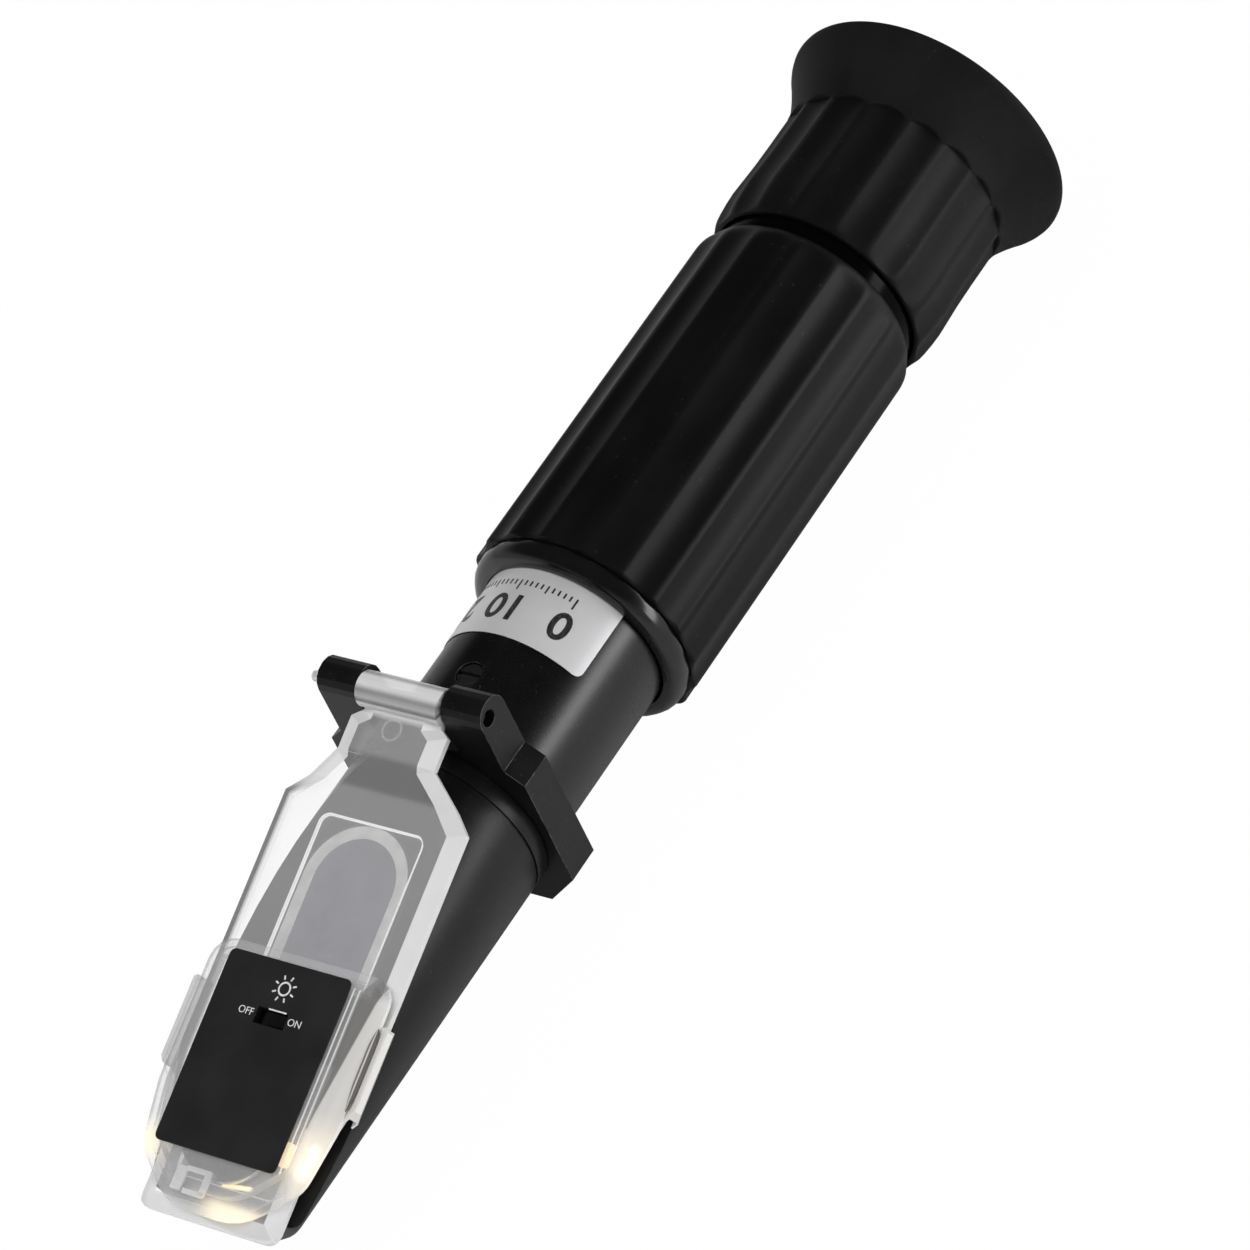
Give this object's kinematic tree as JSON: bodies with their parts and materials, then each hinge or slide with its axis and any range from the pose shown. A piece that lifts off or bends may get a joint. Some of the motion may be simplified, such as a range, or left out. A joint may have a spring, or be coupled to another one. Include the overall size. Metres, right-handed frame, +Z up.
{
  "type": "brix refractometer",
  "caption": "Hand-held brix refractometer: slanted prism under a hinged daylight plate with a clip-on light box, calibration screw, fluted grip and focusing eyepiece with flared eyecup.",
  "frame": {"origin": "Middle of the instrument's length and width, level with the lowest point of the eyecup.", "axes": "+X along the optical axis towards the eye, +Z up through the calibration screw, +Y to the side where the hinge pin stands out."},
  "size_m": [0.1804, 0.04, 0.0413],
  "materials": {
    "black_anodised": "black anodised, satin gloss",
    "gloss_black": "moulded, glossy",
    "black_rubber": "moulded, satin",
    "bright_steel": "turned, bright",
    "silver_label": "silver foil, satin",
    "optical_glass": "polished",
    "grey_sealant": "cast, satin",
    "frosted_clear": "clear, frosted underneath",
    "black_sticker": "printed film, satin",
    "bimetal": "rolled strip",
    "board_green": "solder mask",
    "warm_led": "clear lens, lit"
  },
  "bodies": {
    "tube": {"prism_body": "black_anodised", "measuring_prism": "optical_glass", "prism_seal": "grey_sealant", "hinge_collar": "black_anodised", "hinge_pin": "bright_steel", "main_tube": "black_anodised", "tube_label": "silver_label", "shoulder_ring": "gloss_black", "grip_sleeve": "black_rubber", "thread_sleeve": "black_anodised", "guide_pin": "bright_steel", "compensation_strip": "bimetal", "objective_cell": "black_anodised", "objective_lens": "optical_glass", "reticle_disc": "optical_glass", "reticle_ring": "black_anodised"},
    "calibration": {"calibration_screw": "bright_steel"},
    "eyepiece": {"eyepiece_barrel": "black_anodised", "field_lens": "optical_glass", "eye_lens": "optical_glass", "lens_retainer": "gloss_black"},
    "focus": {"focus_ring": "black_rubber", "eyecup": "black_rubber"},
    "cover": {"daylight_plate": "frosted_clear", "light_box_shell": "frosted_clear", "light_box_base": "frosted_clear", "face_sticker": "black_sticker", "circuit_board": "board_green", "coin_cell": "bright_steel", "cell_contact": "bright_steel", "led": "warm_led"},
    "switch": {"light_switch": "gloss_black"}
  },
  "joints": [
    {"name": "cover_hinge", "type": "hinge", "parent": "tube", "child": "cover", "pos_m": [-0.02797, 0, 0.039], "axis": [0, 1, 0], "range_deg": [0, 135]},
    {"name": "calibration_turn", "type": "hinge", "parent": "tube", "child": "calibration", "pos_m": [-0.01782, 0, 0.0321], "axis": [0, 0, 1], "range_deg": [-180, 180]},
    {"name": "eyepiece_slide", "type": "slide", "parent": "tube", "child": "eyepiece", "axis": [1, 0, 0], "range_m": [-0.0016, 0.0024]},
    {"name": "focus_turn", "type": "hinge", "parent": "eyepiece", "child": "focus", "pos_m": [0.07, 0, 0.02], "axis": [1, 0, 0], "range_deg": [-144, 216]},
    {"name": "light_switch_slide", "type": "slide", "parent": "cover", "child": "switch", "axis": [0, 1, 0], "range_m": [0, 0.0013]}
  ],
  "couplings": [
    {"joint": "eyepiece_slide", "follows": "focus_turn", "m_per_rad": 0.00063662}
  ]
}
